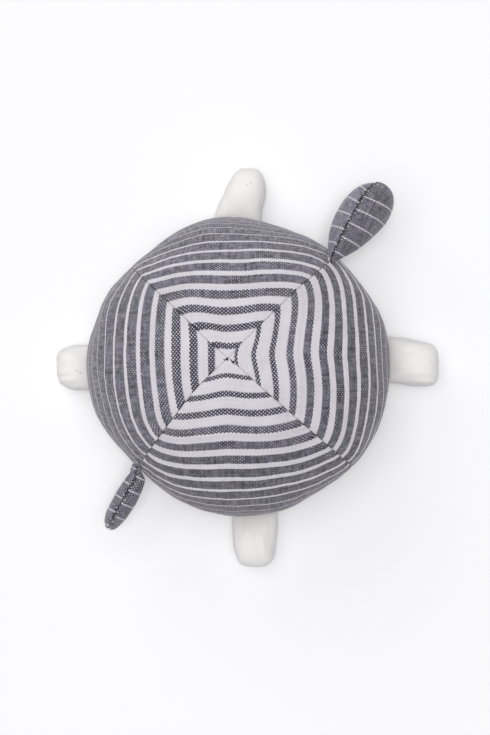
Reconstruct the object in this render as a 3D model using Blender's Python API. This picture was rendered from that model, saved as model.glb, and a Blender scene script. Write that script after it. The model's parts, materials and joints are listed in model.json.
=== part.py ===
"""A stuffed fabric turtle, built from the pieces that it is sewn from.

Metres, +Z up. The head points along -Y and the turtle's left is +X. The origin is the centre of the flat
that the belly rests on. Every sewn form is one closed shape. Its cloth is the outer wall of that shape,
parted at the seams, and its stuffing is the same shape, smaller by the cloth and a gap.
"""

import math
from collections import namedtuple

import bmesh
import bpy
from mathutils import Matrix, Vector

# Shell
shell_radius = 0.0905  # at the middle of a gore, on the widest line
seam_draw_share = 0.027  # how much narrower the shell is at its four seams
dome_height = 0.072  # above the widest line
belly_depth = 0.0375  # below the widest line, before the rest flat is cut
rest_cut = 0.0005  # how deep the rest flat is cut
rim_seam_height = 0.015  # of the seam between the gores and the belly
dome_plan_power = 2.2
dome_height_power = 1.85
belly_power = 2.8

# Cloth and the gaps of the seams
cloth = 0.001
seam_gap = 0.0003
fill_gap = 0.0003
limb_fill_gap = 0.0006  # wider, because a pinched form narrows it towards its root
sewn_gap = 0.0003

# Legs
leg_length = 0.0385
short_leg_length = 0.031  # of the rear left leg, which is sewn in deeper
leg_width = 0.028
leg_thickness = 0.028
leg_root = 0.001  # from the axis that the leg flaps on to its end
leg_turns_deg = {"front_left": -47.5, "front_right": -135.2, "rear_left": 43.7, "rear_right": 137.1}
leg_width_rise = 0.06
leg_width_fall = 0.2
leg_height_rise = 1.25
leg_height_fall = 0.42

# Head and tail
head_length = 0.0595
head_width = 0.0275
head_height = 0.031
head_seat_height = 0.061
head_turn_deg = 12.7  # away from straight ahead
head_roll_deg = -12.0
head_start_droop_deg = 4.0
head_end_droop_deg = 46.0
tail_length = 0.0455
tail_width = 0.0128
tail_height = 0.018
tail_seat_height = 0.059
tail_turn_deg = 16.0
tail_roll_deg = 0.0
tail_start_droop_deg = 2.0
tail_end_droop_deg = 54.0
neck_reach = 0.0025  # from the axis that the neck swings on to its end
head_width_rise = 0.6
head_width_fall = 0.35
head_height_rise = 0.8
head_height_fall = 0.4
tail_width_rise = 0.35
tail_width_fall = 0.33
tail_height_rise = 0.85
tail_height_fall = 0.4

# Facets
shell_around = 32
shell_rings = 18
leg_around = 12
leg_rings = 9
head_around = 16
head_rings = 12
tail_around = 12
tail_rings = 9

# Worked out
widest_height = belly_depth - rest_cut
overrun = 2 * (shell_radius + head_length)
pinch = cloth  # half of a pinched root, which is two layers of cloth
front = math.radians(-90)
rear = math.radians(90)

Limb = namedtuple("Limb", "root length width height width_powers height_powers droop around rings")

# Materials
cloths = {
    "striped_cotton": ((0.28, 0.29, 0.32, 1.0), 0.9),
    "white_knit": ((0.82, 0.81, 0.79, 1.0), 0.95),
    "plain_cotton": ((0.80, 0.79, 0.77, 1.0), 0.9),
    "fibre_fill": ((0.88, 0.88, 0.86, 1.0), 1.0),
}


def clear_scene():
    for obj in list(bpy.data.objects):
        bpy.data.objects.remove(obj)


def new_collection(name):
    made = bpy.data.collections.new(name)
    bpy.context.scene.collection.children.link(made)
    return made


def new_material(name, colour, roughness):
    material = bpy.data.materials.new(name)
    material.use_nodes = True
    shader = material.node_tree.nodes["Principled BSDF"]
    shader.inputs["Base Color"].default_value = colour
    shader.inputs["Roughness"].default_value = roughness
    shader.inputs["Metallic"].default_value = 0.0
    material.diffuse_color = colour
    return material


def swell(share, powers):
    """The half-width of a sewn form at a share of its length, where 1 is its fullest."""
    rise, fall = powers
    fullest = rise / (rise + fall)
    return (share / fullest) ** rise * ((1 - share) / (1 - fullest)) ** fall


def shell_radius_at(angle):
    """The widest line's radius in this direction: fullest in the middle of each gore."""
    return shell_radius * (1 - seam_draw_share * (1 + math.cos(4 * angle)) / 2)


def wall_radius(angle, height):
    """The shell's outer radius at a height above the rest flat."""
    rise = height - widest_height
    if rise >= 0:
        left = 1 - (rise / dome_height) ** dome_height_power
        return shell_radius_at(angle) * left ** (1 / dome_plan_power)
    left = 1 - (-rise / belly_depth) ** belly_power
    return shell_radius_at(angle) * left ** (1 / belly_power)


def wall_normal(angle, height):
    """The shell's outward direction at a height, from the slope across one cloth's thickness."""
    lean = (wall_radius(angle, height - cloth) - wall_radius(angle, height + cloth)) / (2 * cloth)
    return Vector((math.cos(angle), math.sin(angle), lean)).normalized()


def seat_on_wall(angle, height, stand_off):
    """A point this far out from the shell's wall, square to it."""
    radius = wall_radius(angle, height)
    on_wall = Vector((radius * math.cos(angle), radius * math.sin(angle), height))
    return on_wall + wall_normal(angle, height) * stand_off


def shell_point(unit):
    """Where a point of the unit sphere lies on the shell."""
    radius = shell_radius_at(math.atan2(unit.y, unit.x))
    girth = math.hypot(unit.x, unit.y)
    if unit.z >= 0:
        reach = radius * girth ** (2 / dome_plan_power)
        height = dome_height * unit.z ** (2 / dome_height_power)
    else:
        reach = radius * girth ** (2 / belly_power)
        height = -belly_depth * abs(unit.z) ** (2 / belly_power)
    flat = Vector((unit.x, unit.y, 0))
    flat = flat.normalized() * reach if girth > 0 else flat
    return flat + Vector((0, 0, widest_height + height))


def limb_point(unit, limb, inset):
    """Where a point of the unit sphere, poles at root and tip, lies on a limb that runs along +X."""
    share = (1 + unit.z) / 2
    girth = math.hypot(unit.x, unit.y)
    side, up = (unit.x / girth, unit.y / girth) if girth > 0 else (0, 0)
    half_width = (limb.width / 2 - inset) * swell(share, limb.width_powers)
    pinched = max(pinch - inset, 0)
    half_height = pinched + (limb.height / 2 - inset - pinched) * swell(share, limb.height_powers)
    start, end = (math.radians(angle) for angle in limb.droop)
    stops_short = 2 * inset  # the pinched root holds little stuffing
    along = stops_short + share * (limb.length - inset - stops_short)
    droop = start + (end - start) * along / limb.length
    if end == start:
        centre = Vector((along * math.cos(start), 0, -along * math.sin(start)))
    else:
        bend = limb.length / (end - start)
        centre = bend * Vector((math.sin(droop) - math.sin(start), 0, math.cos(droop) - math.cos(start)))
    root = limb.root * Vector((-math.cos(start), 0, math.sin(start)))
    across = Vector((0, side * half_width, 0))
    upward = up * half_height * Vector((math.sin(droop), 0, math.cos(droop)))
    return root + centre + across + upward


def cut_flat(shape, height):
    """Cuts a closed shape level at a height and closes it there."""
    geometry = shape.verts[:] + shape.edges[:] + shape.faces[:]
    level = Vector((0, 0, height))
    bmesh.ops.bisect_plane(shape, geom=geometry, plane_co=level, plane_no=(0, 0, 1), clear_inner=True)
    rim = [edge for edge in shape.edges if edge.is_boundary]
    if rim:
        bmesh.ops.holes_fill(shape, edges=rim)


def unit_form(around, rings):
    """A unit sphere whose faces are parted alike in every copy, so that nested forms stay parallel."""
    shape = bmesh.new()
    bmesh.ops.create_uvsphere(shape, u_segments=around, v_segments=rings, radius=1)
    bmesh.ops.triangulate(shape, faces=shape.faces, quad_method="FIXED")
    return shape


def finished_mesh(name, shape):
    mesh = bpy.data.meshes.new(name)
    shape.to_mesh(mesh)
    shape.free()
    mesh.shade_smooth()
    mesh.set_sharp_from_angle(angle=math.radians(50))
    return mesh


def shell_mesh(name, inset):
    """The whole shell and belly as one closed form, this much inside the outer surface."""
    shape = unit_form(shell_around, shell_rings)
    for vertex in shape.verts:
        vertex.co = shell_point(vertex.co)
    shape.normal_update()
    moves = [vertex.normal * inset for vertex in shape.verts]
    for vertex, move in zip(shape.verts, moves):
        vertex.co -= move
    cut_flat(shape, inset)
    return finished_mesh(name, shape)


def limb_mesh(name, limb, inset, floor):
    """A limb as one closed form, this much inside its outer surface, cut level at floor if there is one."""
    shape = unit_form(limb.around, limb.rings)
    for vertex in shape.verts:
        vertex.co = limb_point(vertex.co, limb, inset)
    shape.normal_update()
    if floor is not None:
        cut_flat(shape, floor + inset)
    return finished_mesh(name, shape)


def place(name, mesh, collection, parent, material=None):
    obj = bpy.data.objects.new(name, mesh)
    collection.objects.link(obj)
    obj.parent = parent
    if material:
        mesh.materials.append(material)
    return obj


def cutter(name, mesh, parent):
    obj = place(name, mesh, cutters, parent)
    obj.hide_render = True
    obj.display_type = "WIRE"
    return obj


def region(name, low, high, parent):
    """A box that keeps what lies between two corners."""
    shape = bmesh.new()
    bmesh.ops.create_cube(shape, size=1)
    size = [abs(b - a) for a, b in zip(low, high)]
    middle = [(a + b) / 2 for a, b in zip(low, high)]
    shape.transform(Matrix.Translation(middle) @ Matrix.Diagonal((*size, 1)))
    mesh = bpy.data.meshes.new(name)
    shape.to_mesh(mesh)
    shape.free()
    return cutter(name, mesh, parent)


def sewn_panel(name, whole, core, kept, parent, material):
    """The cloth of a form, less its core, kept on one side of its seams."""
    panel = place(name, whole, turtle, parent, material)
    hollow = panel.modifiers.new("hollow", "BOOLEAN")
    hollow.operation = "DIFFERENCE"
    hollow.object = core
    part = panel.modifiers.new("seams", "BOOLEAN")
    part.operation = "INTERSECT"
    part.object = kept
    return panel


def make_shell(parent):
    core = cutter("shell_core", shell_mesh("shell_core", cloth), parent)
    above = rim_seam_height + seam_gap / 2
    for side_name, side in (("left", 1), ("right", -1)):
        for end_name, end in (("front", -1), ("rear", 1)):
            name = f"shell_panel_{end_name}_{side_name}"
            near = (side * seam_gap / 2, end * seam_gap / 2, above)
            far = (side * overrun, end * overrun, overrun)
            kept = region(name + "_region", near, far, parent)
            sewn_panel(name, shell_mesh(name, 0), core, kept, parent, materials["striped_cotton"])
    below = rim_seam_height - seam_gap / 2
    kept = region("belly_region", (-overrun, -overrun, -overrun), (overrun, overrun, below), parent)
    sewn_panel("belly_panel", shell_mesh("belly_panel", 0), core, kept, parent, materials["plain_cotton"])
    filling = shell_mesh("shell_stuffing", cloth + fill_gap)
    place("shell_stuffing", filling, turtle, parent, materials["fibre_fill"])


def make_limb(name, limb, hinge, halves, floor, material, roll=0.0):
    """The two panels and the stuffing of a limb. halves names each panel and the box that keeps it."""
    core = cutter(name + "_core", limb_mesh(name + "_core", limb, cloth, floor), hinge)
    pieces = [core]
    for panel_name, (near, far) in halves.items():
        kept = region(panel_name + "_region", near, far, hinge)
        mesh = limb_mesh(panel_name, limb, 0, floor)
        pieces += [kept, sewn_panel(panel_name, mesh, core, kept, hinge, material)]
    filling = limb_mesh(name + "_stuffing", limb, cloth + limb_fill_gap, floor)
    pieces.append(place(name + "_stuffing", filling, turtle, hinge, materials["fibre_fill"]))
    for piece in pieces:
        piece.rotation_euler.x = roll


def new_hinge(name, position, turn):
    """An empty on a joint's axis, its X along the limb."""
    hinge = bpy.data.objects.new(name, None)
    turtle.objects.link(hinge)
    hinge.location = position
    hinge.rotation_euler.z = turn
    return hinge


def make_leg(corner, turn, length):
    """A knitted sock, pinched flat into the rim seam and sewn round its side."""
    height_powers = (leg_height_rise, leg_height_fall)
    width_powers = (leg_width_rise, leg_width_fall)
    limb = Limb(
        leg_root, length, leg_width, leg_thickness, width_powers, height_powers, (0, 0), leg_around, leg_rings
    )
    position = seat_on_wall(turn, rim_seam_height, leg_root + sewn_gap)
    name = "leg_" + corner
    hinge = new_hinge(name + "_hinge", position, turn)
    half_gap = seam_gap / 2
    halves = {
        name + "_top_panel": ((-overrun, -overrun, half_gap), (overrun, overrun, overrun)),
        name + "_sole_panel": ((-overrun, -overrun, -overrun), (overrun, overrun, -half_gap)),
    }
    make_limb(name, limb, hinge, halves, -position.z, materials["white_knit"])


def make_leaf(name, limb, seat_height, direction, turn, roll):
    """A leaf of two striped panels, sewn along its back and its underside."""
    position = seat_on_wall(direction, seat_height, neck_reach + sewn_gap)
    hinge = new_hinge(name + "_hinge", position, direction + turn)
    half_gap = seam_gap / 2
    plus_side = ((-overrun, half_gap, -overrun), (overrun, overrun, overrun))
    minus_side = ((-overrun, -overrun, -overrun), (overrun, -half_gap, overrun))
    left, right = (plus_side, minus_side) if direction == front else (minus_side, plus_side)
    halves = {name + "_left_panel": left, name + "_right_panel": right}
    make_limb(name, limb, hinge, halves, None, materials["striped_cotton"], roll)


def make_head():
    limb = Limb(
        neck_reach,
        head_length,
        head_width,
        head_height,
        (head_width_rise, head_width_fall),
        (head_height_rise, head_height_fall),
        (head_start_droop_deg, head_end_droop_deg),
        head_around,
        head_rings,
    )
    turn, roll = math.radians(head_turn_deg), math.radians(head_roll_deg)
    make_leaf("head", limb, head_seat_height, front, turn, roll)


def make_tail():
    limb = Limb(
        neck_reach,
        tail_length,
        tail_width,
        tail_height,
        (tail_width_rise, tail_width_fall),
        (tail_height_rise, tail_height_fall),
        (tail_start_droop_deg, tail_end_droop_deg),
        tail_around,
        tail_rings,
    )
    turn, roll = math.radians(tail_turn_deg), math.radians(tail_roll_deg)
    make_leaf("tail", limb, tail_seat_height, rear, turn, roll)


clear_scene()
turtle = new_collection("plush_turtle")
cutters = new_collection("cutters")
materials = {name: new_material(name, *looks) for name, looks in cloths.items()}
body = new_hinge("rest_centre", Vector((0, 0, 0)), 0)
make_shell(body)
for corner, turn_deg in leg_turns_deg.items():
    length = short_leg_length if corner == "rear_left" else leg_length
    make_leg(corner, math.radians(turn_deg), length)
make_head()
make_tail()
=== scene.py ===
"""A stuffed fabric turtle: its cloth, its seams and threads, and the light around it.

Metres, +Z up. The head points along -Y and the turtle's left is +X. The cloth of each sewn form is a closed
sheet of its own, laid over the form that its solid has. Every point of it carries its place in the flat
cloth, in metres. In striped cloth u runs along the stripes and v across them.
"""

import json
from collections import namedtuple
from functools import cache
from math import atan2, cos, pi, radians, sin, sqrt

import bmesh
import bpy
import numpy as np
from mathutils import Matrix, Vector
from mathutils.bvhtree import BVHTree


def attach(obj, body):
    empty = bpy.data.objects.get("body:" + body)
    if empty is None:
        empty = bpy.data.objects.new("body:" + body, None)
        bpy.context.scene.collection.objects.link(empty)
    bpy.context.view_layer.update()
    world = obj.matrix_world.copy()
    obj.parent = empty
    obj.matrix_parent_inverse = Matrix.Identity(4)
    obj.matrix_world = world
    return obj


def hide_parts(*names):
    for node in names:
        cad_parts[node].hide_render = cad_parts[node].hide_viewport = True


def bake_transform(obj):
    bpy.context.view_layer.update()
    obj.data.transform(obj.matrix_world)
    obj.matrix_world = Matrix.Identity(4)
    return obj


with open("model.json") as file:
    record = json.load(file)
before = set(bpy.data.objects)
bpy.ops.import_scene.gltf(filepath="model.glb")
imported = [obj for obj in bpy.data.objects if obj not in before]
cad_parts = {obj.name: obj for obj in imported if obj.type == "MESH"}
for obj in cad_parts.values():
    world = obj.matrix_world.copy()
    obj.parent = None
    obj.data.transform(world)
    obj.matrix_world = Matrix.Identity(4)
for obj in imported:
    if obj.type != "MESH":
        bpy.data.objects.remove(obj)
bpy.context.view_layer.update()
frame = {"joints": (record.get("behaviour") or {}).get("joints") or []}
hinges = {joint["child"]: np.array(joint["pos_m"]) for joint in frame["joints"]}

# The legs' cloth and the stuffing have the plain looks of the solids
white_knit = bpy.data.materials["white_knit"]
fibre_fill = bpy.data.materials["fibre_fill"]

# The shell's form, as in the solids
shell_radius = 0.0905
seam_draw_share = 0.027
dome_height = 0.072
belly_depth = 0.0375
rest_cut = 0.0005
rim_seam_height = 0.015
dome_plan_power = 2.2
dome_height_power = 1.85
belly_power = 2.8
widest_height = belly_depth - rest_cut
crown = Vector((0, 0, widest_height + dome_height))

# Where sewing and stuffing push the shell out or draw it in: degrees, depth and width in degrees
Push = namedtuple("Push", "middle_deg depth width_deg")
shell_pushes = [Push(-62, -0.0033, 18), Push(-14, -0.0022, 18), Push(90, -0.0030, 26), Push(191, 0.0034, 20)]
neck_pull = 0.0012  # of the cloth at the roots of the head and the tail
neck_pull_reach = 0.005
neck_fold = 0.0003
neck_fold_reach = 0.010
neck_folds = 7

# Cloth, seams and unevenness
cloth = 0.0009
seam_gap = 0.0001
crease_depth = 0.0004
crease_width = 0.0003
pull_depth = 0.0003
pull_width = 0.0025
pucker_pitch = 0.0045
pucker_share = 0.55
crown_calm = 0.006  # the seams grow to their full depth over this distance from the crown
lump_height = 0.00035
lump_pitch = 0.034
ripple_height = 0.00008
ripple_pitch = 0.009
belly_calm = 0.04  # the belly's cloth is evener within this distance of its middle
sharp_edge_deg = 60
same_place = 1e-6

# Stripes
stripe_pitch = 0.01
warp = stripe_pitch / 10
weft = 0.00112
dark_share_step = 0.07
stripe_reach = 0.09  # over which the stripes' bend changes
wave_reach = 0.12
first_row_arc = 0.0005
least_dark_share = 0.05
most_dark_share = 0.93

Gore = namedtuple(
    "Gore", "middle_deg first_stripe stretch low_side high_side low_bow high_bow first_dark waves"
)
gores = {
    "front_left": Gore(
        -45, 0.0048, 16.9, (0.353, -0.039), (0.34, -0.003), (-0.059, 0.213), (0.312, -0.324), 0.347,
        [(-0.0006, 0.021, 0.009), (-0.001, -0.020, 0.008)],
    ),
    "rear_left": Gore(
        45, 0.0072, 5.7, (0.35, -0.112), (0.342, -0.187), (-0.122, 0.211), (-0.033, 0.228), 0.412,
        [(0.0003, -0.0094, 0.009), (0.0006, 0.023, 0.008)],
    ),
    "rear_right": Gore(
        135, 0.0085, 8.1, (0.446, -0.201), (0.331, -0.087), (0.006, 0.177), (-0.051, 0.18), 0.258,
        [(0.0012, -0.0022, 0.0096), (-0.0019, 0.015, 0.019), (0.0005, -0.020, 0.008)],
    ),
    "front_right": Gore(
        -135, 0.0037, 4.5, (0.38, -0.166), (0.464, -0.176), (-0.075, 0.237), (0.017, 0.233), 0.19,
        [(0.0009, 0.0011, 0.006), (-0.001, -0.018, 0.011)],
    ),
}

# How far each seam strays from its straight line: everywhere, and near the crown at an arc, over a width
Stray = namedtuple("Stray", "far_deg near_deg arc width")
seam_strays = {
    -90: Stray(-0.7, 1.6, 0.010, 0.008),
    0: Stray(0.0, 2.9, 0.010, 0.013),
    90: Stray(0.0, -4.8, 0.014, 0.026),
    180: Stray(1.6, 2.7, 0.005, 0.010),
}

# Legs: taper and bend follow the sewn outline of each
Leg = namedtuple("Leg", "length width taper bluntness root_shift tip_shift")
legs = {
    "front_left": Leg(0.0387, 0.0285, 0.09, 3, 0.0034, -0.0040),
    "front_right": Leg(0.0372, 0.0272, -0.03, 5, 0.0024, -0.0030),
    "rear_left": Leg(0.0292, 0.0280, 0.0, 4, -0.0004, -0.0018),
    "rear_right": Leg(0.0376, 0.0270, 0.0, 4, 0.0019, 0.0003),
}
leg_seam_share = 0.3  # of the depth that the other seams have
leg_fold = 0.00018
leg_fold_width = 0.005
leg_fold_length = 0.022
leg_thickness = 0.028
leg_height_powers = (0.85, 0.42)
leg_squareness = 0.28  # 0 gives a leg a round section, and 1 a square one
leg_root_reach = 0.25  # the share of a leg over which it leaves its flat root
leg_tuck = 0.0022
leg_blend = (0.0008, 0.003)  # how far before and beyond its hinge a root gives way to its limb
knit = 0.0008
pinch = 0.0011
pinch_power = 8
least_height = 0.0001

# Head and tail. The last of a leaf's values says how far round its back seam has gone at the tip
Leaf = namedtuple(
    "Leaf",
    "length width height width_powers height_powers turn_deg roll_deg droop_deg root_shift lean seam_deg",
)
leaves = {
    "head": Leaf(0.0575, 0.0275, 0.031, (0.6, 0.35), (0.8, 0.4), 12.7, -12, (4, 46), 0, -0.01, 28),
    "tail": Leaf(0.0455, 0.0128, 0.018, (0.29, 0.33), (0.85, 0.4), 16, 0, (2, 54), 0.0030, -0.085, 0),
}
leaf_blend = (0.0012, 0.003)
leaf_root_reach = 0.1
leaf_shift_reach = 0.125
least_share = 0.02
neck_reach = 0.0025
neck_tuck = 0.0035
back_groove = {"head": 0.0008, "tail": 0.0005}
back_groove_width = 0.0005
leaf_line_share = 0.945

# How a cloth looks: its tone, which on the head and the tail paints light on the panel that faces the side
# lamp and shade on the other; the tone of its dark yarn far from the crown, painted light and shade by the
# side each gore faces; how plainly its weave shows, how far and how strongly its seams darken, and the number
# of its last white line
Finish = namedtuple("Finish", "tone outer_tone weave seam_reach seam_strength last_line")
shell_finish = Finish(1, 1, 1, 0.0007, 0.9, 99)
# Painted light and shade: the dark yarn far from the crown is lighter on the gores of the turtle's left,
# towards the side lamp, and darker on those of its right, turned away from it
painted_side_lights = {"front_left": 1.1, "rear_left": 1.02, "rear_right": 0.78, "front_right": 0.83}
# The panels' tones are painted light on the left panels, which face the side lamp, and painted shade on the
# right ones
leaf_finishes = {
    "head_left": Finish(1.3, 1, 0.25, 0.0012, 1.4, 99),
    "head_right": Finish(0.92, 1, 0.3, 0.0012, 1.4, 4),
    "tail_left": Finish(1.1, 1, 0.3, 0.0008, 1.1, 99),
    "tail_right": Finish(0.95, 1, 0.6, 0.0008, 1.1, 99),
}
Lines = namedtuple("Lines", "first pitch slant slant_growth")
leaf_lines = {
    "head_right": Lines(0.0027, 0.0090, 0, 3.5),
    "head_left": Lines(0.0070, 0.0091, -0.3, 10.5),
    "tail_right": Lines(0.0025, 0.0089, 0, 0),
    "tail_left": Lines(-0.0010, 0.0093, 0, 0),
}

# Yarns, as two colours that they vary between or one
dark_warps = ((0.030, 0.028, 0.044), (0.055, 0.052, 0.075))
light_wefts = ((0.38, 0.37, 0.44), (0.56, 0.55, 0.62))
heather = (0.158, 0.154, 0.189)
white_warps = ((0.665, 0.635, 0.68), (0.725, 0.695, 0.735))
white_weft = (0.685, 0.655, 0.695)
plain_warps = ((0.80, 0.79, 0.77), (0.86, 0.85, 0.83))
plain_weft = (0.84, 0.83, 0.81)
thread_yarns = {
    "dark_thread": ((0.006, 0.006, 0.012), (0.035, 0.033, 0.05)),
    "light_thread": ((0.62, 0.61, 0.64), (0.86, 0.85, 0.87)),
    "grey_thread": ((0.30, 0.29, 0.29), (0.55, 0.54, 0.54)),
}
Yarns = namedtuple("Yarns", "first second parity shows height")
weft_dot = (0.5, 0.38)  # half the size of the dot that the weft shows as, in yarns
weft_dot_edge = (1.1, 0.7)
yarn_bend = 0.0003
Grain = namedtuple("Grain", "slub streak mottle")
noise_span = (0.2, 0.8)
sway_span = (-0.4, 0.4)

# Changes outwards from the crown: where they start and end, and the values there
edge_steps = (0.03, 0.07, 0.0004, 0.00012)  # of the stripes' edges at each weft yarn
speckle_fade = (0.05, 0.018)
heather_growth = (0, 0.05, 0.7, 1.7)
# where the painted side light and shade of the dark yarn set in
painted_side_light_span = (0.03, 0.06)
line_growth = (0.03, 0.07, 1, 1.08)
line_break_span = (0.04, 0.07)

# Surfaces
cloth_gloss = 0.15
sheen_spread = 0.5
woven_relief = 0.00012
fine_relief = 0.00004

# Stuffing lies this far inside the cloth's outer side. In a limb it starts at one share of the length and
# fills another
stuffing_depth = 0.0028
leg_stuffing_depth = 0.0034
leg_filled = (0.07, 0.9)
leaf_filled = (0.08, 0.86)

# Threads
thread_radius = 0.00022
crown_thread_radius = 0.0003
thread_sides = 7
stitch_points = 7
stitch_rise = 0.00012
stitch_stray = 0.0004
stray_pitch = 0.002
nearly_up = (0.03, 0.02, 1)  # no thread runs along it
Stitching = namedtuple("Stitching", "start end pitch reach unevenness")
ladder = Stitching(0.004, 0.009, 0.0016, 0.0008, 0.0002)  # ends so far before the end of the seam
zigzag = Stitching(0.004, 0.038, 0.0015, 0.0010, 0.25)
lines_end = 0.006  # before the end of the seam
seam_step = 0.0005
dot_reach = 0.0004
dot_aside = 0.0008
knot_radius = 0.0006
knot_points = 49
knot_tallness = 1.6
far_arc = 0.1  # where a seam no longer strays as it does near the crown
crown_knot = (-0.00012, 0.00088)
crown_speck = (0.0008, 0.0021)
crown_thread = ((-0.00155, -0.0004), (-0.0037, -0.00015))
# White stitches near the outer end of a seam: its direction in degrees, and how far out they start and end
End = namedtuple("End", "seam_deg start end count")
seam_ends = [End(90, 0.076, 0.084, 5), End(180, 0.079, 0.084, 3), End(-90, 0.077, 0.083, 4)]
# Places where a thread end was sewn away on a leg
leg_ends = {
    "front_left": [(0.0706, -0.0862), (0.0715, -0.0839)],
    "rear_left": [(0.0679, 0.0682), (0.0704, 0.0690)],
}

# Light, floor and camera
picture_pixels = (490, 735)
crown_pixel = (228, 358)
camera_distance = 1.1
camera_lens_mm = 96
camera_sensor_mm = 36
view_tilt_deg = 5.2
view_from_deg = 184.2
picture_turn_deg = 137.2
world_light = 0.22
world_tint = (0.91, 0.86, 1.0)
Lamp = namedtuple("Lamp", "name tint level distance size from_deg height_deg")
lamps = [
    Lamp("overhead", (1.0, 1.0, 0.985), 0.50, 6.0, 6.0, 20, 86),
    Lamp("front", (1.0, 1.0, 0.985), 0.38, 6.0, 1.6, 184.2, 84.8),
    Lamp("side", (1.0, 1.0, 0.98), 0.19, 6.0, 4.5, -15, 34),
]
floor_size = 3.2
floor_drop = 0.0004
floor_colour = (0.918, 0.923, 0.928)

waves_in_noise = 14
tiny = 1e-12


def wander(seed, pitch, *coordinates):
    """A smooth seeded unevenness, mostly between -1.5 and 1.5, with bumps about this far apart."""
    random = np.random.default_rng(seed)
    total = 0
    for _ in range(waves_in_noise):
        direction = random.normal(size=len(coordinates))
        direction /= np.linalg.norm(direction)
        length = pitch * random.uniform(0.7, 1.5)
        run = sum(part * along for part, along in zip(direction, coordinates))
        total = total + np.sin(2 * pi * run / length + random.uniform(0, 2 * pi))
    return total / sqrt(waves_in_noise / 2)


def smooth(share):
    share = np.clip(share, 0, 1)
    return share * share * (3 - 2 * share)


def bell(away, width):
    """1 in the middle, and fading over about this width to either side."""
    return np.exp(-((away / width) ** 2))


def swell(share, powers):
    """The half-width of a sewn form at a share of its length, where 1 is its fullest."""
    rise, fall = powers
    fullest = rise / (rise + fall)
    return (share / fullest) ** rise * ((1 - share) / (1 - fullest)) ** fall


def outward(grid):
    """The outward direction at each point of a bulging grid."""
    along, across = np.gradient(grid, axis=(0, 1))
    normal = np.cross(along, across)
    normal /= np.maximum(np.linalg.norm(normal, axis=-1, keepdims=True), tiny)
    leaning = np.sum(normal * (grid - grid.mean(axis=(0, 1))))
    return normal if leaning > 0 else -normal


def raised(points, lift):
    """The grid with its points moved outwards by this much."""
    return points + outward(points) * lift[..., None]


def arc_along(grid):
    """The distance along each column of a grid from its first row."""
    steps = np.linalg.norm(np.diff(grid, axis=0), axis=-1)
    return np.concatenate([np.zeros((1, grid.shape[1])), np.cumsum(steps, axis=0)])


def arc_across(grid):
    """The distance along each row of a grid from its first column."""
    return arc_along(grid.transpose(1, 0, 2)).T


def crowded(count):
    """Steps from -1 to 1 that lie closer together near both ends, where the seams are."""
    return np.sin(np.linspace(-pi / 2, pi / 2, count))


def eased(count):
    """Steps from 0 to 1 that lie closer together near both ends."""
    return (1 - np.cos(np.linspace(0, pi, count))) / 2


def all_round(count):
    return np.linspace(-pi, pi, count + 1)[:-1]


def round_points(radius, angle, height):
    return np.stack([radius * np.cos(angle), radius * np.sin(angle), height], axis=-1)


def linked(name, data):
    obj = bpy.data.objects.new(name, data)
    bpy.context.scene.collection.objects.link(obj)
    return obj


def joined(meshes):
    shape = bmesh.new()
    for mesh in meshes:
        shape.from_mesh(mesh)
    return shape


def new_object(name, mesh, material, body, replaced=()):
    mesh.materials.append(material)
    obj = linked(name, mesh)
    if body:
        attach(obj, body)
    if replaced:
        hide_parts(*replaced)
    return obj


def new_mesh(name, points, faces, flat, edge):
    """A closed mesh whose points keep their place in the flat cloth and their distance to a seam."""
    mesh = bpy.data.meshes.new(name)
    mesh.from_pydata(points.tolist(), [], faces.tolist())
    corners = np.empty(len(mesh.loops), dtype=np.int32)
    mesh.loops.foreach_get("vertex_index", corners)
    layer = mesh.uv_layers.new(name="flat")
    layer.data.foreach_set("uv", flat[corners].astype(np.float32).ravel())
    seam = mesh.attributes.new("edge", "FLOAT", "POINT")
    seam.data.foreach_set("value", edge.astype(np.float32))
    shape = joined([mesh])
    bmesh.ops.remove_doubles(shape, verts=shape.verts, dist=same_place)
    bmesh.ops.recalc_face_normals(shape, faces=shape.faces)
    shape.to_mesh(mesh)
    shape.free()
    mesh.shade_smooth()
    mesh.set_sharp_from_angle(angle=radians(sharp_edge_deg))
    return mesh


def sheet_mesh(name, outer, thickness, flat, edge):
    """A closed sheet of cloth: a bulging grid of points, the same grid inside it, and the walls between."""
    rows, columns = outer.shape[:2]
    inner = outer - outward(outer) * thickness
    points = np.concatenate([outer.reshape(-1, 3), inner.reshape(-1, 3)])
    number = np.arange(rows * columns).reshape(rows, columns)
    corners = [number[:-1, :-1], number[1:, :-1], number[1:, 1:], number[:-1, 1:]]
    quads = np.stack(corners, axis=-1).reshape(-1, 4)
    rim = np.concatenate([number[0, :-1], number[:-1, -1], number[-1, :0:-1], number[:0:-1, 0]])
    below = rows * columns
    following = np.roll(rim, -1)
    walls = np.stack([rim, following, following + below, rim + below], axis=-1)
    faces = np.concatenate([quads, quads[:, ::-1] + below, walls])
    flat = np.concatenate([flat.reshape(-1, 2)] * 2)
    edge = np.concatenate([edge.ravel()] * 2)
    return new_mesh(name, points, faces, flat, edge)


def form_mesh(name, grid):
    """A closed form from a grid that goes all the way round, with a pole at its first and last row."""
    rows, columns = grid.shape[:2]
    number = np.arange(rows * columns).reshape(rows, columns)
    onward = np.roll(number, -1, axis=1)
    quads = np.stack([number[:-1], number[1:], onward[1:], onward[:-1]], axis=-1).reshape(-1, 4)
    flat = np.stack([arc_across(grid), arc_along(grid)], axis=-1)
    edge = np.ones(rows * columns)
    return new_mesh(name, grid.reshape(-1, 3), quads, flat.reshape(-1, 2), edge)


def seam_crease(distance, along, seed):
    """How deep the cloth lies beside a seam: a sharp fold, a soft pull and the puckers of its stitches."""
    pucker = 1 + pucker_share * wander(seed, pucker_pitch, along)
    fold = crease_depth * np.exp(-distance / crease_width)
    return fold + pull_depth * pucker * bell(distance, pull_width)


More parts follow.
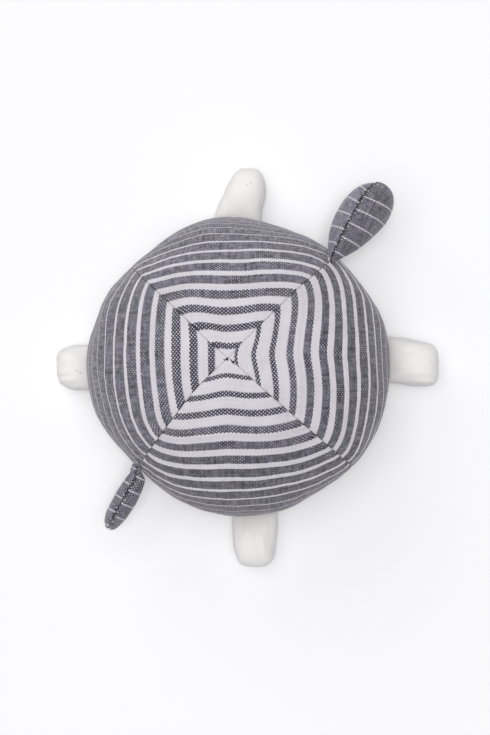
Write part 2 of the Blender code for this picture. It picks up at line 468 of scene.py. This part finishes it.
def unevenness(points, seed):
    """Soft lumps of the stuffing and fine ripples of the cloth."""
    x, y, z = np.moveaxis(points, -1, 0)
    lumps = lump_height * wander(seed, lump_pitch, x, y, z)
    return lumps + ripple_height * wander(seed + 1, ripple_pitch, x, y, z)


# The shell

profile_turn = np.linspace(0, pi, 6000)
profile_above = np.cos(profile_turn) >= 0
plan_power = np.where(profile_above, dome_plan_power, belly_power)
height_power = np.where(profile_above, dome_height_power, belly_power)
profile_reach = np.abs(np.sin(profile_turn)) ** (2 / plan_power)
profile_rise = np.abs(np.cos(profile_turn)) ** (2 / height_power)
profile_height = widest_height + np.where(profile_above, dome_height, -belly_depth) * profile_rise


def shell_radius_at(angle):
    return shell_radius * (1 - seam_draw_share * (1 + np.cos(4 * angle)) / 2)


def shell_columns(angles, rows, top, bottom):
    """Points down the shell in each direction, from a height, or from close to the crown, to a lower height:
    their arcs from the crown, their radii and their heights."""
    columns = []
    for angle in angles:
        radius = shell_radius_at(angle) * profile_reach
        arc = np.concatenate([[0], np.cumsum(np.hypot(np.diff(radius), np.diff(profile_height)))])
        start = first_row_arc if top is None else np.interp(-top, -profile_height, arc)
        end = np.interp(-bottom, -profile_height, arc)
        stops = start + (end - start) * np.linspace(0, 1, rows)
        columns.append([stops, np.interp(stops, arc, radius), np.interp(stops, arc, profile_height)])
    return np.moveaxis(np.array(columns), 0, -1)


def shell_push(angle, height):
    """How far the shell's wall stands out from its even form."""
    total = 0
    for push in shell_pushes:
        away = (np.degrees(angle) - push.middle_deg + 180) % 360 - 180
        total = total + push.depth * bell(away, push.width_deg)
    up = np.clip((height - widest_height) / dome_height, 0, 1)
    down = np.clip((widest_height - height) / widest_height, 0, 1)
    return total * (1 - up**2) ** 2 * (1 - down**2) ** 2


def seam_angle(quarter_deg, arc):
    stray = seam_strays[(quarter_deg + 179) % 360 - 179]
    near = stray.near_deg * bell(arc - stray.arc, stray.width)
    return np.radians(quarter_deg + stray.far_deg + near)


def shell_grid(low_deg, high_deg, steps, rows):
    """The even form between two seams: its points, their arcs from the crown, their angles and radii."""
    share = (1 + steps) / 2
    even = np.radians(low_deg + (high_deg - low_deg) * share)
    arc, radius, height = shell_columns(even, rows, top=None, bottom=rim_seam_height)
    low = seam_angle(low_deg, arc)
    high = seam_angle(high_deg, arc)
    angle = low + (high - low) * share
    radius = radius + shell_push(angle, height)
    return round_points(radius, angle, height), arc, angle, radius


def neck_pulls(points):
    """How the shell's cloth is pulled out, and folded, at the roots of the head and the tail."""
    total = 0
    for body in leaves:
        away = points - hinges[body]
        distance = np.linalg.norm(away, axis=-1)
        around = np.arctan2(away[..., 2], away[..., 0])
        folds = neck_fold * np.cos(neck_folds * around) * bell(distance, neck_fold_reach)
        total = total + folds + neck_pull * bell(distance, neck_pull_reach)
    return total


def either_side(turn, outer, low, high):
    """A value that starts and grows outwards in one way on the low side and in another on the high one."""
    return np.where(turn < 0, low[0] + low[1] * outer, high[0] + high[1] * outer)


def stripe_run(gore, angle, arc):
    """How far across the stripes a point of a gore lies, from the near edge of its first dark stripe."""
    turn = (angle - radians(gore.middle_deg) + pi) % (2 * pi) - pi
    share = np.abs(turn) / (pi / 4)
    outer = arc / stripe_reach
    side = either_side(turn, outer, gore.low_side, gore.high_side)
    bow = either_side(turn, outer, gore.low_bow, gore.high_bow)
    bent = (1 - np.cos(turn)) / (1 - cos(pi / 4))
    run = arc * (1 + gore.stretch * arc**2)
    run = run * (1 - side * bent - bow * share**2 * (1 - share**2))
    calm = np.clip(1 - arc / wave_reach, 0, 1) * np.clip(arc / stripe_pitch, 0, 1)
    for height, middle, width in gore.waves:
        run = run + height * bell(arc * np.sin(turn) - middle, width) * calm
    return run - gore.first_stripe


def make_gore(name, gore):
    steps = crowded(count=121)
    low_deg, high_deg = gore.middle_deg - 45, gore.middle_deg + 45
    points, arc, angle, radius = shell_grid(low_deg, high_deg, steps, rows=161)
    from_low = radius * np.sin((1 + steps) * pi / 4)
    from_high = radius * np.sin((1 - steps) * pi / 4)
    from_rim = arc[-1] - arc
    calm = arc / (arc + crown_calm)
    depth = calm * seam_crease(from_low, arc, seed=10 + low_deg % 360)
    depth = depth + calm * seam_crease(from_high, arc, seed=10 + high_deg % 360)
    depth = depth + seam_crease(from_rim, radius * angle, seed=40 + gore.middle_deg % 360)
    points = raised(points, unevenness(points, seed=3) + neck_pulls(points) - depth)
    middle = radians(gore.middle_deg)
    points = points + np.sign([cos(middle), sin(middle), 1]) * seam_gap / 2
    along = radius * np.sin(angle - middle)
    flat = np.stack([along, stripe_run(gore, angle, arc)], axis=-1)
    edge = np.minimum(np.minimum(from_low, from_high), from_rim)
    node = "shell_panel_" + name
    mesh = sheet_mesh(node + "_cloth", points, cloth, flat, edge)
    finish = shell_finish._replace(outer_tone=painted_side_lights[name])
    material = striped_cotton("striped_cotton_" + name, gore.first_dark, dark_share_step, finish)
    piece = new_object(node + "_cloth", mesh, material, "shell", [node])
    return piece


def make_belly():
    around = np.linspace(-pi, pi, 361)
    _, radius, height = shell_columns(around, rows=60, top=rim_seam_height, bottom=0)
    wall = radius + shell_push(around, height)
    inward = np.linspace(1, 0, 24)[1:, None]
    flat_radius = wall[-1] * inward
    radius = np.concatenate([wall, flat_radius])
    height = np.concatenate([height, np.zeros_like(flat_radius)])
    points = round_points(radius, around, height)
    run = arc_along(points)
    lift = unevenness(points, seed=7) - seam_crease(run, radius * around, seed=71)
    points = raised(points, lift * smooth(radius / belly_calm))
    points[..., 2] = np.maximum(points[..., 2] - seam_gap / 2, 0)
    flat = points[..., :2].copy()
    mesh = sheet_mesh("belly_panel_cloth", points, cloth, flat, run)
    piece = new_object("belly_panel_cloth", mesh, plain_cotton(), "shell", ["belly_panel"])


def make_shell_stuffing():
    around = all_round(count=96)
    _, radius, height = shell_columns(around, rows=70, top=None, bottom=0)
    radius = radius + shell_push(around, height)
    radius = np.concatenate([np.zeros_like(radius[:1]), radius, np.zeros_like(radius[:1])])
    height = np.concatenate([np.full_like(height[:1], crown.z), height, np.zeros_like(height[:1])])
    points = round_points(radius, around, height)
    middle = np.array([0, 0, widest_height])
    reach = np.linalg.norm(points - middle, axis=-1, keepdims=True)
    points = middle + (points - middle) * (1 - stuffing_depth / reach)
    mesh = form_mesh("shell_stuffing_form", points)
    piece = new_object("shell_stuffing_form", mesh, fibre_fill, "shell", ["shell_stuffing"])


# Limbs, which run along +X from their hinge before they are set in place


def set_in_place(points, body, turn, roll):
    turned = Matrix.Rotation(turn, 3, "Z") @ Matrix.Rotation(roll, 3, "X")
    return points @ np.array(turned).T + hinges[body]


def hinge_direction(body):
    x, y, _ = hinges[body]
    return atan2(y, x)


def join_to_shell(piece, body, turn, near, far):
    """Moves the piece's place into the points of its mesh."""
    hinge = Vector(hinges[body])
    run = Vector((cos(turn), sin(turn), 0))
    hinge - run * near
    hinge + run * far
    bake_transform(piece)


def squarer(curve, roundness):
    """A sine or cosine whose form is drawn out towards a square one."""
    return np.sign(curve) * np.abs(curve) ** roundness


def leg_grid(leg, share, side, inset):
    """Points of a leg: share runs from root to tip, and side is the angle away from straight up."""
    share, side = np.meshgrid(share, side, indexing="ij")
    held = np.clip(share, 0, 1)
    half_width = (leg.width / 2 - inset) * (1 - leg.taper * held)
    half_width = half_width * (1 - held**leg.bluntness) ** (1 / leg.bluntness)
    closing = pinch * (1 - held**pinch_power)
    full = leg_thickness / 2 - inset - pinch
    half_height = np.maximum(closing - inset, least_height) + full * swell(held, leg_height_powers)
    shift = leg.root_shift + (leg.tip_shift - leg.root_shift) * smooth(held)
    along = share * (leg.length - inset)
    roundness = 1 - leg_squareness * smooth(held / leg_root_reach)
    aside = half_width * squarer(np.sin(side), roundness)
    above = half_height * squarer(np.cos(side), roundness)
    return np.stack([along, shift + aside, above], axis=-1)


def make_leg(corner, leg):
    body = "leg_" + corner
    turn = hinge_direction(body)
    rooted = -leg_tuck / leg.length
    share = rooted + (1 - rooted) * np.sin(np.linspace(0, pi / 2, 71))
    for part, start in (("top", 0.0), ("sole", pi)):
        node = f"{body}_{part}_panel"
        side = start + pi / 2 * crowded(count=81)
        points = leg_grid(leg, share, side, inset=0)
        from_low = arc_across(points)
        from_high = from_low[:, -1:] - from_low
        along = arc_along(points)
        seed = 200 + len(corner) + 10 * list(legs).index(corner)
        depth = seam_crease(from_low, along, seed) + seam_crease(from_high, along, seed + 1)
        edge = np.minimum(from_low, from_high)
        x, y, _ = np.moveaxis(points, -1, 0)
        folds = leg_fold * smooth(edge / leg_fold_width)
        folds = folds * wander(seed + 5, 1.0, x / leg_fold_length, y / leg_fold_width)
        free = smooth(share / leg_root_reach)[:, None]
        points = raised(points, (unevenness(points, seed + 2) + folds - depth * leg_seam_share) * free)
        points[..., 2] += seam_gap / 2 if part == "top" else -seam_gap / 2
        points = set_in_place(points, body, turn, 0)
        points[..., 2] = np.maximum(points[..., 2], 0)
        flat = np.stack([along, np.broadcast_to(side * leg.width / 2, along.shape)], axis=-1)
        mesh = sheet_mesh(node + "_cloth", points, knit, flat, edge)
        piece = new_object(node + "_cloth", mesh, white_knit, None, [node])
        join_to_shell(piece, body, turn, *leg_blend)
        if part == "top" and corner in leg_ends:
            sew_leg_end(corner, piece)
    start, filled = leg_filled
    share = eased(count=30) * filled + start
    points = leg_grid(leg, share, all_round(count=40), inset=leg_stuffing_depth)
    stuff_limb(body, set_in_place(points, body, turn, 0))


def stuff_limb(body, points):
    node = body + "_stuffing"
    mesh = form_mesh(node + "_form", capped(points))
    piece = new_object(node + "_form", mesh, fibre_fill, body, [node])


def capped(points):
    """The same grid with each end drawn to one point."""
    ends = [np.broadcast_to(points[end].mean(axis=0), points[:1].shape) for end in (0, -1)]
    return np.concatenate([ends[0], points, ends[1]])


def leaf_grid(leaf, share, side, inset):
    """Points of a leaf: share runs from root to tip, and side is the angle away from straight up."""
    share, side = np.meshgrid(share, side, indexing="ij")
    held = np.clip(share, least_share, 1)
    half_width = (leaf.width / 2 - inset) * swell(held, leaf.width_powers)
    closing = np.maximum(pinch - inset, least_height) * (1 - held**pinch_power)
    half_height = closing + (leaf.height / 2 - inset - pinch) * swell(held, leaf.height_powers)
    start, end = np.radians(leaf.droop_deg)
    droop = start + (end - start) * np.clip(share, 0, 1)
    bend = leaf.length / (end - start)
    x = bend * (np.sin(droop) - sin(start)) + np.minimum(share, 0) * leaf.length
    z = bend * (np.cos(droop) - cos(start))
    x = x - neck_reach * cos(start)
    z = z + neck_reach * sin(start)
    shift = (leaf.root_shift + leaf.lean * x) * smooth(held / leaf_shift_reach)
    side = side + radians(leaf.seam_deg) * held**2
    up = half_height * np.cos(side)
    aside = shift + half_width * np.sin(side)
    return np.stack([x + up * np.sin(droop), aside, z + up * np.cos(droop)], axis=-1)


def make_leaf(name, leaf):
    ahead = hinge_direction(name)
    turn = ahead + radians(leaf.turn_deg)
    roll = radians(leaf.roll_deg)
    seam_side = -sin(roll) * leaf.height / 2  # where the back seam lies across the leaf once it is rolled
    rooted = (neck_reach - neck_tuck) / leaf.length
    share = rooted + (1 - rooted) * eased(count=91)
    panels = {}
    parts = ("left", "right") if name == "head" else ("right", "left")
    for part, sign in zip(parts, (1, -1)):
        node = f"{name}_{part}_panel"
        side = sign * pi / 2 * (1 + crowded(count=61))
        even = leaf_grid(leaf, share, side, inset=0)
        from_back = arc_across(even)
        from_under = from_back[:, -1:] - from_back
        along = arc_along(even)
        depth = seam_crease(from_back, along, seed=301) + seam_crease(from_under, along, seed=302)
        depth = depth + back_groove[name] * np.exp(-from_back / back_groove_width)
        free = smooth(share / leaf_root_reach)[:, None]
        points = raised(even, (unevenness(even, seed=300 + len(node)) - depth) * free)
        points[..., 1] += sign * seam_gap / 2
        points = set_in_place(points, name, 0, roll)
        plan = points - hinges[name]
        lines = leaf_lines[f"{name}_{part}"]
        from_seam = np.abs(plan[..., 1] - seam_side)
        run = plan[..., 0] - (lines.slant + lines.slant_growth * plan[..., 0]) * from_seam - lines.first
        run = run * stripe_pitch / lines.pitch + stripe_pitch * (1 + leaf_line_share) / 2
        flat = np.stack([from_back, run], axis=-1)
        points = set_in_place(plan, name, turn, 0)
        edge = np.minimum(from_back, from_under)
        mesh = sheet_mesh(node + "_cloth", points, cloth, flat, edge)
        finish = leaf_finishes[f"{name}_{part}"]
        material = striped_cotton("striped_cotton_" + node, leaf_line_share, 0, finish)
        piece = new_object(node + "_cloth", mesh, material, None, [node])
        join_to_shell(piece, name, ahead, *leaf_blend)
        panels[part] = (piece, points[:, 0])
    start, filled = leaf_filled
    share = eased(count=40) * filled + start
    points = leaf_grid(leaf, share, all_round(count=40), inset=stuffing_depth)
    stuff_limb(name, set_in_place(points, name, turn, roll))
    sew_back(name, panels)


# Threads


def tree_of(pieces):
    shape = joined([piece.data for piece in pieces])
    tree = BVHTree.FromBMesh(shape)
    shape.free()
    return tree


def on_cloth(tree, x, y):
    """The cloth's outer side at a place seen from above, and its outward direction. Over the gap of a seam it
    is that of the cloth beside it."""
    for gaps in (0, 1, -1, 2, -2, 4, -4):
        aside = gaps * seam_gap
        place, normal, _, _ = tree.ray_cast(Vector((x + aside, y + aside / 2, 1)), Vector((0, 0, -1)))
        if place and normal.z > 0:
            return Vector((x, y, place.z)), normal
    raise ValueError(f"no cloth at {x:.4f}, {y:.4f}")


def stitch(tree, start, end):
    """A short thread from one needle hole to another that lies on the cloth and dips in at its ends."""
    path = []
    for share in np.linspace(0, 1, stitch_points):
        x, y = (start[axis] + (end[axis] - start[axis]) * share for axis in (0, 1))
        place, normal = on_cloth(tree, x, y)
        lift = (thread_radius + stitch_rise) * sin(pi * share) ** 0.5 - thread_radius
        path.append(np.array(place + normal * lift))
    return np.array(path)


def speck(tree, x, y):
    return stitch(tree, (x - dot_reach, y), (x + dot_reach, y))


def knot(tree, x, y):
    """A thread wound round itself."""
    place, normal = on_cloth(tree, x, y)
    turn = np.linspace(0, 2 * pi, knot_points)
    east = np.sin(turn) + 2 * np.sin(2 * turn)
    north = np.cos(turn) - 2 * np.cos(2 * turn)
    wound = np.stack([east, north, -np.sin(3 * turn)], axis=-1)
    ball = wound * knot_radius / 3 * np.array([1, 1, knot_tallness])
    return ball + np.array(place + normal * knot_radius / 2)


def sew(name, paths, material, body, thickness=thread_radius):
    """Closed round threads along these paths, as one piece."""
    meshes = []
    around = np.linspace(0, 2 * pi, thread_sides + 1)[:-1, None]
    for path in paths:
        run = np.gradient(path, axis=0)
        run /= np.maximum(np.linalg.norm(run, axis=1, keepdims=True), tiny)
        aside = np.cross(run, nearly_up)
        aside /= np.linalg.norm(aside, axis=1, keepdims=True)
        over = np.cross(aside, run)
        rings = []
        for place, beside, above in zip(path, aside, over):
            rings.append(place + thickness * (np.cos(around) * beside + np.sin(around) * above))
        meshes.append(form_mesh(name, capped(np.array(rings))))
    shape = joined(meshes)
    shape.to_mesh(meshes[0])
    shape.free()
    for mesh in meshes[1:]:
        bpy.data.meshes.remove(mesh)
    return new_object(name, meshes[0], material, body)


def sew_crown(gore_pieces):
    tree = tree_of(gore_pieces)
    paths = [knot(tree, *crown_knot), stitch(tree, *crown_thread), knot(tree, *crown_thread[1])]
    paths.append(speck(tree, *crown_speck))
    sew("crown_thread", paths, thread("dark_thread"), "shell", crown_thread_radius)
    paths = []
    for end in seam_ends:
        toward = seam_angle(end.seam_deg, far_arc)
        outwards = np.array([cos(toward), sin(toward)])
        aside = np.array([-sin(toward), cos(toward)])
        for out in np.linspace(end.start, end.end, end.count):
            stray = stitch_stray * wander(90, stray_pitch, out)
            middle = out * outwards + aside * stray
            paths.append(stitch(tree, middle - aside * dot_reach, middle + aside * dot_reach))
    sew("seam_end_thread", paths, thread("light_thread"), "shell")


def sew_back(name, panels):
    """The stitches along the back seam of the head or the tail, and the light ends of its white lines."""
    tree = tree_of([piece for piece, _ in panels.values()])
    first_seam, second_seam = (seam for _, seam in panels.values())
    seam = (first_seam + second_seam) / 2
    arc = np.concatenate([[0], np.cumsum(np.linalg.norm(np.diff(seam, axis=0), axis=1))])

    def seam_at(run):
        return np.array([np.interp(run, arc, seam[:, axis]) for axis in (0, 1)])

    def beside(run, away):
        here = seam_at(run)
        ahead = seam_at(run + seam_step) - here
        return here + np.array([-ahead[1], ahead[0]]) / np.hypot(*ahead) * away

    paths = []
    if name == "head":
        for run in np.arange(ladder.start, arc[-1] - ladder.end, ladder.pitch):
            stray = ladder.unevenness * wander(91, stray_pitch, run)
            paths.append(stitch(tree, beside(run, stray - ladder.reach), beside(run, stray + ladder.reach)))
    else:
        runs = np.arange(zigzag.start, zigzag.end, zigzag.pitch)
        for number, (run, onward) in enumerate(zip(runs, runs[1:])):
            side = zigzag.reach * (1 if number % 2 else -1)
            side = side * (1 + zigzag.unevenness * wander(92, stray_pitch, run))
            paths.append(stitch(tree, beside(run, side), beside(onward, -side)))
    sew(f"{name}_seam_thread", paths, thread("dark_thread"), name)
    paths = []
    for part, middle in zip(panels, (dot_aside, -dot_aside)):
        lines = leaf_lines[f"{name}_{part}"]
        for along in np.arange(lines.first + lines.pitch, arc[-1] - lines_end, lines.pitch):
            run = along + neck_reach
            paths.append(stitch(tree, beside(run, middle - dot_reach), beside(run, middle + dot_reach)))
    sew(f"{name}_line_thread", paths, thread("light_thread"), name)


def sew_leg_end(corner, piece):
    tree = tree_of([piece])
    paths = [speck(tree, x, y) for x, y in leg_ends[corner]]
    sew(f"leg_{corner}_thread", paths, thread("grey_thread"), "leg_" + corner)


# Materials


class Value:
    """A number that a material works out. The usual signs add the nodes of a sum."""

    def __init__(self, looks, socket):
        self.looks, self.socket = looks, socket

    def __add__(self, other):
        return self.looks.math("ADD", self, other)

    def __sub__(self, other):
        return self.looks.math("SUBTRACT", self, other)

    def __rsub__(self, other):
        return self.looks.math("SUBTRACT", other, self)

    def __mul__(self, other):
        return self.looks.math("MULTIPLY", self, other)

    def __truediv__(self, other):
        return self.looks.math("DIVIDE", self, other)


class Looks:
    """A material, with its place in the flat cloth and short calls to build its nodes."""

    def __init__(self, name):
        self.material = bpy.data.materials.new(name)
        self.material.use_nodes = True
        self.nodes = self.material.node_tree.nodes
        self.links = self.material.node_tree.links
        self.shader = self.nodes["Principled BSDF"]
        parts = self.nodes.new("ShaderNodeSeparateXYZ")
        self.links.new(self.made("ShaderNodeUVMap", uv_map="flat"), parts.inputs[0])
        self.along, self.across = (Value(self, part) for part in parts.outputs[:2])

    def feed(self, socket, fed):
        if isinstance(fed, Value):
            fed = fed.socket
        if isinstance(fed, bpy.types.NodeSocket):
            self.links.new(fed, socket)
        else:
            socket.default_value = fed

    def made(self, kind, fed=(), output=0, **settings):
        """An output of a new node with these settings, whose inputs are fed by number or name."""
        node = self.nodes.new(kind)
        for name, setting in settings.items():
            setattr(node, name, setting)
        for place, value in fed:
            self.feed(node.inputs[place], value)
        return node.outputs[output]

    def number(self, *made, **settings):
        return Value(self, self.made(*made, **settings))

    def math(self, operation, *values):
        return self.number("ShaderNodeMath", enumerate(values), operation=operation)

    def counted(self, value):
        """The whole number in a value, and the value's place round the middle between it and the next."""
        whole = self.math("FLOOR", value)
        return whole, value - whole - 0.5

    def ramp(self, value, start, end, low=0, high=1):
        """Smoothly from low to high as the value goes from start to end."""
        fed = enumerate((value, start, end, low, high))
        return self.number("ShaderNodeMapRange", fed, interpolation_type="SMOOTHSTEP")

    def mix(self, share, *colours):
        first, second = ((*colour, 1) if isinstance(colour, tuple) else colour for colour in colours)
        fed = (("Factor", share), (6, first), (7, second))
        return self.made("ShaderNodeMix", fed, output=2, data_type="RGBA")

    def scaled(self, colour, factor):
        return self.made("ShaderNodeVectorMath", ((0, colour), ("Scale", factor)), operation="SCALE")

    def edge(self):
        return self.number("ShaderNodeAttribute", output="Fac", attribute_name="edge")

    def point(self, *place):
        return self.made("ShaderNodeCombineXYZ", enumerate(place))

    def noise(self, place, detail=2):
        """Noise from 0 to 1 at a place whose unit is one bump."""
        return self.number("ShaderNodeTexNoise", (("Vector", place), ("Scale", 1), ("Detail", detail)))

    def patches(self, along_bumps, across_bumps, layer=0, detail=2):
        """Noise over the flat cloth, with so many bumps to the metre along and across it."""
        return self.noise(self.point(self.along * along_bumps, self.across * across_bumps, layer), detail)

    def sway(self, *sizes):
        """The same noise from -0.5 to 0.5."""
        return self.patches(*sizes) - 0.5

    def chance(self, *place):
        """A random value from 0 to 1 for each whole number or pair of them."""
        fed = [("Vector", self.point(*place))]
        return self.number("ShaderNodeTexWhiteNoise", fed, noise_dimensions="3D")

    def finish(self, colour, height, relief, roughness, sheen):
        bump = self.made("ShaderNodeBump", (("Strength", 1), ("Distance", relief), ("Height", height)))
        settings = {
            "Normal": bump,
            "Base Color": colour,
            "Roughness": roughness,
            "Specular IOR Level": cloth_gloss,
            "Sheen Weight": sheen,
            "Sheen Roughness": sheen_spread,
            "Sheen Tint": (1, 1, 1, 1),
        }
        for socket, value in settings.items():
            self.feed(self.shader.inputs[socket], value)
        return self.material


def arch(value):
    """1 at 0, and 0 at half a unit to either side."""
    return 1 - value * value * 4


def weave(looks, along, across):
    """A plain weave: the numbers of its yarns, 1 where the weft is the upper one, how far the weft shows, and
    the height of the cloth."""
    first, aside = looks.counted(across / warp)
    second, ahead = looks.counted(along / weft)
    parity = looks.math("PINGPONG", first + second, 1)
    wide, slim = (looks.math("POWER", place / half, 2) for place, half in zip((aside, ahead), weft_dot))
    shows = parity * looks.ramp(wide + slim, *weft_dot_edge)
    rounded = arch(aside) * (1 - parity) + arch(ahead) * parity
    return Yarns(first, second, parity, shows, looks.math("POWER", rounded, 0.5))


def seam_shade(looks, reach, strength):
    """Darkens the cloth in the fold of a seam, more in some stitches than in others."""
    broken = looks.ramp(looks.patches(420, 420, 0, 1), 0.42, 0.6, 0.15, 1)
    depth = looks.math("MINIMUM", broken * strength, 0.95)
    return 1 - looks.ramp(looks.edge(), reach, seam_gap) * depth


def dark_cotton(looks, yarns, grain, finish):
    """Dark warp speckled by a light weft. Further out the speckle gives way to a soft heather. Painted light
    and shade lighten the dark cloth on the side that faces the side lamp and darken it on the other.
    """
    patch = looks.ramp(looks.patches(75, 75, 11, 1), 0.46, 0.6)
    plain = looks.math("MAXIMUM", looks.ramp(looks.across, *speckle_fade), patch * 0.7) * finish.weave
    dark_warp = looks.mix(plain, heather, looks.mix(looks.chance(yarns.first, 5), *dark_warps))
    cell = looks.chance(yarns.first, yarns.second, 8)
    light_weft = looks.mix(plain, heather, looks.mix(cell, *light_wefts))
    uneven = grain.streak * 1.1 + (grain.slub * 0.7 + grain.mottle * 1.1)
    uneven = uneven * looks.ramp(looks.across, *heather_growth) + 1
    # Painted light and shade: lighter outwards on the gores and panels that face the side lamp, darker on the
    # others
    tone = uneven * looks.ramp(looks.across, *painted_side_light_span, 1, finish.outer_tone) * finish.tone
    return looks.scaled(looks.mix(yarns.shows, dark_warp, light_weft), tone)


def white_cotton(looks, yarns, grain):
    """White warp and weft, a little worn. The outer lines are brighter, but broken."""
    worn = looks.ramp(grain.streak + grain.slub, -0.35, 0.1, 0.95, 1)
    lost = 1 - looks.ramp(yarns.parity * 0.3 + grain.mottle * 2, -0.2, 0.4, 0.92, 1)
    kept = 1 - lost * looks.ramp(looks.across, *line_break_span)
    bright = looks.ramp(looks.across, *line_growth) * kept
    white_warp = looks.mix(looks.chance(yarns.first, 3), *white_warps)
    return looks.scaled(looks.mix(yarns.shows, white_warp, white_weft), worn * bright)


def striped_cotton(name, first_dark, dark_step, finish):
    """Yarn-dyed cotton. Its dark stripes start narrow and grow by a step, until only fine white lines are
    left. The weft is light, and it steps the edges of the stripes."""
    looks = Looks(name)
    grain = Grain(looks.sway(110, 560), looks.sway(620, 100, 7), looks.sway(330, 330, 4))
    bent_across = looks.across + grain.streak * yarn_bend
    yarns = weave(looks, looks.along + grain.slub * yarn_bend, bent_across)
    step = (yarns.parity - 0.5) * looks.ramp(looks.across, *edge_steps)
    stripe = (bent_across + step) / stripe_pitch
    number = looks.math("FLOOR", stripe)
    share = looks.math("MAXIMUM", number * dark_step + first_dark, least_dark_share)
    share = looks.math("MINIMUM", share, most_dark_share)
    dark = looks.math("LESS_THAN", stripe - number, share) * looks.math("GREATER_THAN", stripe, 0)
    dark = looks.math("MAXIMUM", dark, looks.math("GREATER_THAN", number, finish.last_line))
    colour = looks.mix(dark, white_cotton(looks, yarns, grain), dark_cotton(looks, yarns, grain, finish))
    cloudy = looks.ramp(looks.patches(45, 45, 2, 3), *noise_span, 0.94, 1.04)
    strength = looks.ramp(dark, 0, 1, 0.2, finish.seam_strength)
    # Painted shade in the gaps between the yarns, times a cloudy tone of the cloth itself; then painted shade
    # in the fold of the seams
    tone = looks.ramp(yarns.height, 0, 0.55, 0.8, 1) * cloudy
    colour = looks.scaled(colour, tone * seam_shade(looks, finish.seam_reach, strength))
    roughness = looks.ramp(grain.slub, *sway_span, 0.82, 0.98)
    return looks.finish(colour, yarns.height, woven_relief, roughness, 0.3)


def plain_cotton():
    looks = Looks("plain_cotton")
    slub = looks.sway(90, 700)
    yarns = weave(looks, looks.along + slub * yarn_bend, looks.across)
    colour = looks.mix(yarns.shows, looks.mix(looks.chance(yarns.first, 3), *plain_warps), plain_weft)
    # Painted shade in the gaps between the yarns and in the fold of the seams
    tone = looks.ramp(yarns.height, 0, 0.55, 0.85, 1) * seam_shade(looks, shell_finish.seam_reach, 0.3)
    roughness = looks.ramp(slub, *sway_span, 0.85, 0.98)
    return looks.finish(looks.scaled(colour, tone), yarns.height, woven_relief, roughness, 0.1)


@cache
def thread(name):
    """Twisted sewing thread."""
    looks = Looks(name)
    around, along = looks.along, looks.across
    twist = looks.math("PINGPONG", along * 2600 + around * 3200, 1)
    fuzz = looks.noise(looks.point(along * 3000, around * 3000))
    colour = looks.mix(twist * fuzz, *thread_yarns[name])
    return looks.finish(colour, twist, fine_relief, looks.ramp(fuzz, *noise_span, 0.5, 0.8), 0.1)


# Light, floor and camera


def make_floor():
    shape = bmesh.new()
    bmesh.ops.create_grid(shape, x_segments=1, y_segments=1, size=floor_size / 2)
    mesh = bpy.data.meshes.new("floor")
    shape.to_mesh(mesh)
    shape.free()
    floor = linked("floor", mesh)
    floor.location.z = -floor_drop
    material = bpy.data.materials.new("floor")
    material.use_nodes = True
    shader = material.node_tree.nodes["Principled BSDF"]
    shader.inputs["Base Color"].default_value = (*floor_colour, 1)
    shader.inputs["Roughness"].default_value = 1.0
    shader.inputs["Specular IOR Level"].default_value = 0.0
    mesh.materials.append(material)


def seeing_rays(nodes, links):
    """1 for rays that see the thing itself or mirrored, and 0 for rays that only carry light."""
    path = nodes.new("ShaderNodeLightPath")
    seeing = path.outputs["Is Camera Ray"]
    for ray in ("Is Glossy Ray", "Is Transmission Ray"):
        either = nodes.new("ShaderNodeMath")
        either.operation = "MAXIMUM"
        links.new(seeing, either.inputs[0])
        links.new(path.outputs[ray], either.inputs[1])
        seeing = either.outputs[0]
    return seeing


def make_light():
    """A dim even light from all round, which looks white where it is seen, and the lamps."""
    world = bpy.data.worlds.new("studio")
    bpy.context.scene.world = world
    world.use_nodes = True
    nodes, links = world.node_tree.nodes, world.node_tree.links
    mix = nodes.new("ShaderNodeMix")
    mix.data_type = "RGBA"
    links.new(seeing_rays(nodes, links), mix.inputs["Factor"])
    mix.inputs[6].default_value = (*(world_light * part for part in world_tint), 1)
    mix.inputs[7].default_value = (1, 1, 1, 1)
    links.new(mix.outputs[2], nodes["Background"].inputs["Color"])
    for lamp in lamps:
        make_lamp(lamp)


def make_lamp(lamp):
    """A round soft lamp that lights a white surface facing it to its level, where 1 is white."""
    light = bpy.data.lights.new(lamp.name, "AREA")
    light.shape = "DISK"
    light.size = lamp.size
    light.energy = lamp.level * (pi * lamp.distance) ** 2
    light.color = lamp.tint
    placed = linked(lamp.name, light)
    around, up = radians(lamp.from_deg), radians(lamp.height_deg)
    aim = Vector((cos(around) * cos(up), sin(around) * cos(up), sin(up)))
    placed.location = aim * lamp.distance
    placed.rotation_euler = aim.to_track_quat("Z", "Y").to_euler()


def make_camera():
    """The crown of the shell falls on its pixel of the picture, seen from a little to one side of upright."""
    tilt, seen_from = radians(view_tilt_deg), radians(view_from_deg)
    lean = sin(tilt)
    back = Vector((lean * cos(seen_from), lean * sin(seen_from), cos(tilt)))
    turn = radians(picture_turn_deg)
    right = Vector((cos(turn), -sin(turn), 0))
    right = (right - back * right.dot(back)).normalized()
    up = back.cross(right)
    pixel = camera_distance / (picture_pixels[1] * camera_lens_mm / camera_sensor_mm)
    beside = (crown_pixel[0] - picture_pixels[0] / 2) * pixel
    above = (picture_pixels[1] / 2 - crown_pixel[1]) * pixel
    place = crown - right * beside - up * above + back * camera_distance
    lens = bpy.data.cameras.new("camera")
    lens.lens = camera_lens_mm
    lens.sensor_width = camera_sensor_mm
    camera = linked("camera", lens)
    camera.matrix_world = Matrix.Translation(place) @ Matrix((right, up, back)).transposed().to_4x4()
    bpy.context.scene.camera = camera


make_camera()
make_light()
make_floor()
sew_crown([make_gore(gore_name, gore) for gore_name, gore in gores.items()])
make_belly()
make_shell_stuffing()
for corner, leg in legs.items():
    make_leg(corner, leg)
for leaf_name, leaf in leaves.items():
    make_leaf(leaf_name, leaf)

bpy.context.scene.view_settings.view_transform = "Standard"
